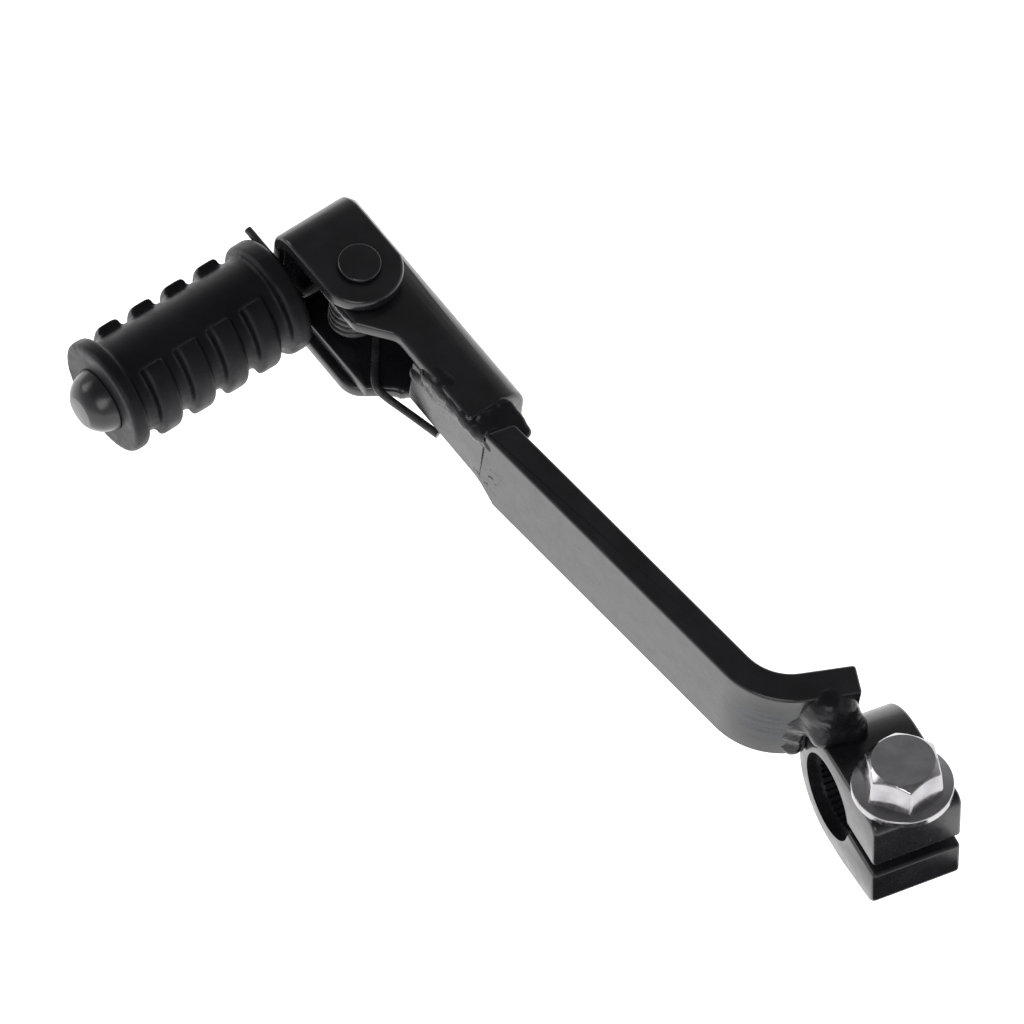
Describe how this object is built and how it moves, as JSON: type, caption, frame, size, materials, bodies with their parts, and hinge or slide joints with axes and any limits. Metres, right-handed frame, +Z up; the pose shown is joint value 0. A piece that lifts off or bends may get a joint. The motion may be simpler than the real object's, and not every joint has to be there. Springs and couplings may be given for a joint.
{
  "type": "folding gear lever",
  "caption": "Motorbike foot gear lever: split splined clamp boss, bent flat-bar arm and a spring-returned folding toe peg with a ribbed rubber sleeve.",
  "frame": {"origin": "middle of the splined bore, on its axis", "axes": "+X forward along the lever from the bore to the toe, +Y outboard along the bore axis to the peg's side, +Z up, parallel to the toe pivot"},
  "size_m": [0.1221, 0.0882, 0.0285],
  "materials": {
    "black_paint": "satin black paint",
    "painted_weld": "satin black paint over a lumpy bead",
    "bolt_plating": "bright plating",
    "spring_wire": "dark drawn wire",
    "toe_rubber": "matt moulded rubber"
  },
  "bodies": {
    "arm": {"clamp_boss": "black_paint", "clamp_bolt": "bolt_plating", "arm_bar": "black_paint", "boss_weld": "painted_weld", "knuckle_channel": "black_paint", "knuckle_weld": "painted_weld", "knuckle_end_weld": "painted_weld", "torsion_spring": "spring_wire"},
    "toe": {"toe_bracket": "black_paint", "pivot_rivet": "black_paint", "toe_peg": "black_paint", "peg_weld": "painted_weld", "toe_rubber": "toe_rubber"}
  },
  "joints": [
    {"name": "toe_fold", "type": "hinge", "parent": "arm", "child": "toe", "pos_m": [0.0924, 0.0384, 0.008], "axis": [0, 0, 1], "range_deg": [0, 45], "stiffness_Nm_per_rad": 0.2, "springref_deg": -28.65, "deforming": ["torsion_spring"]}
  ]
}
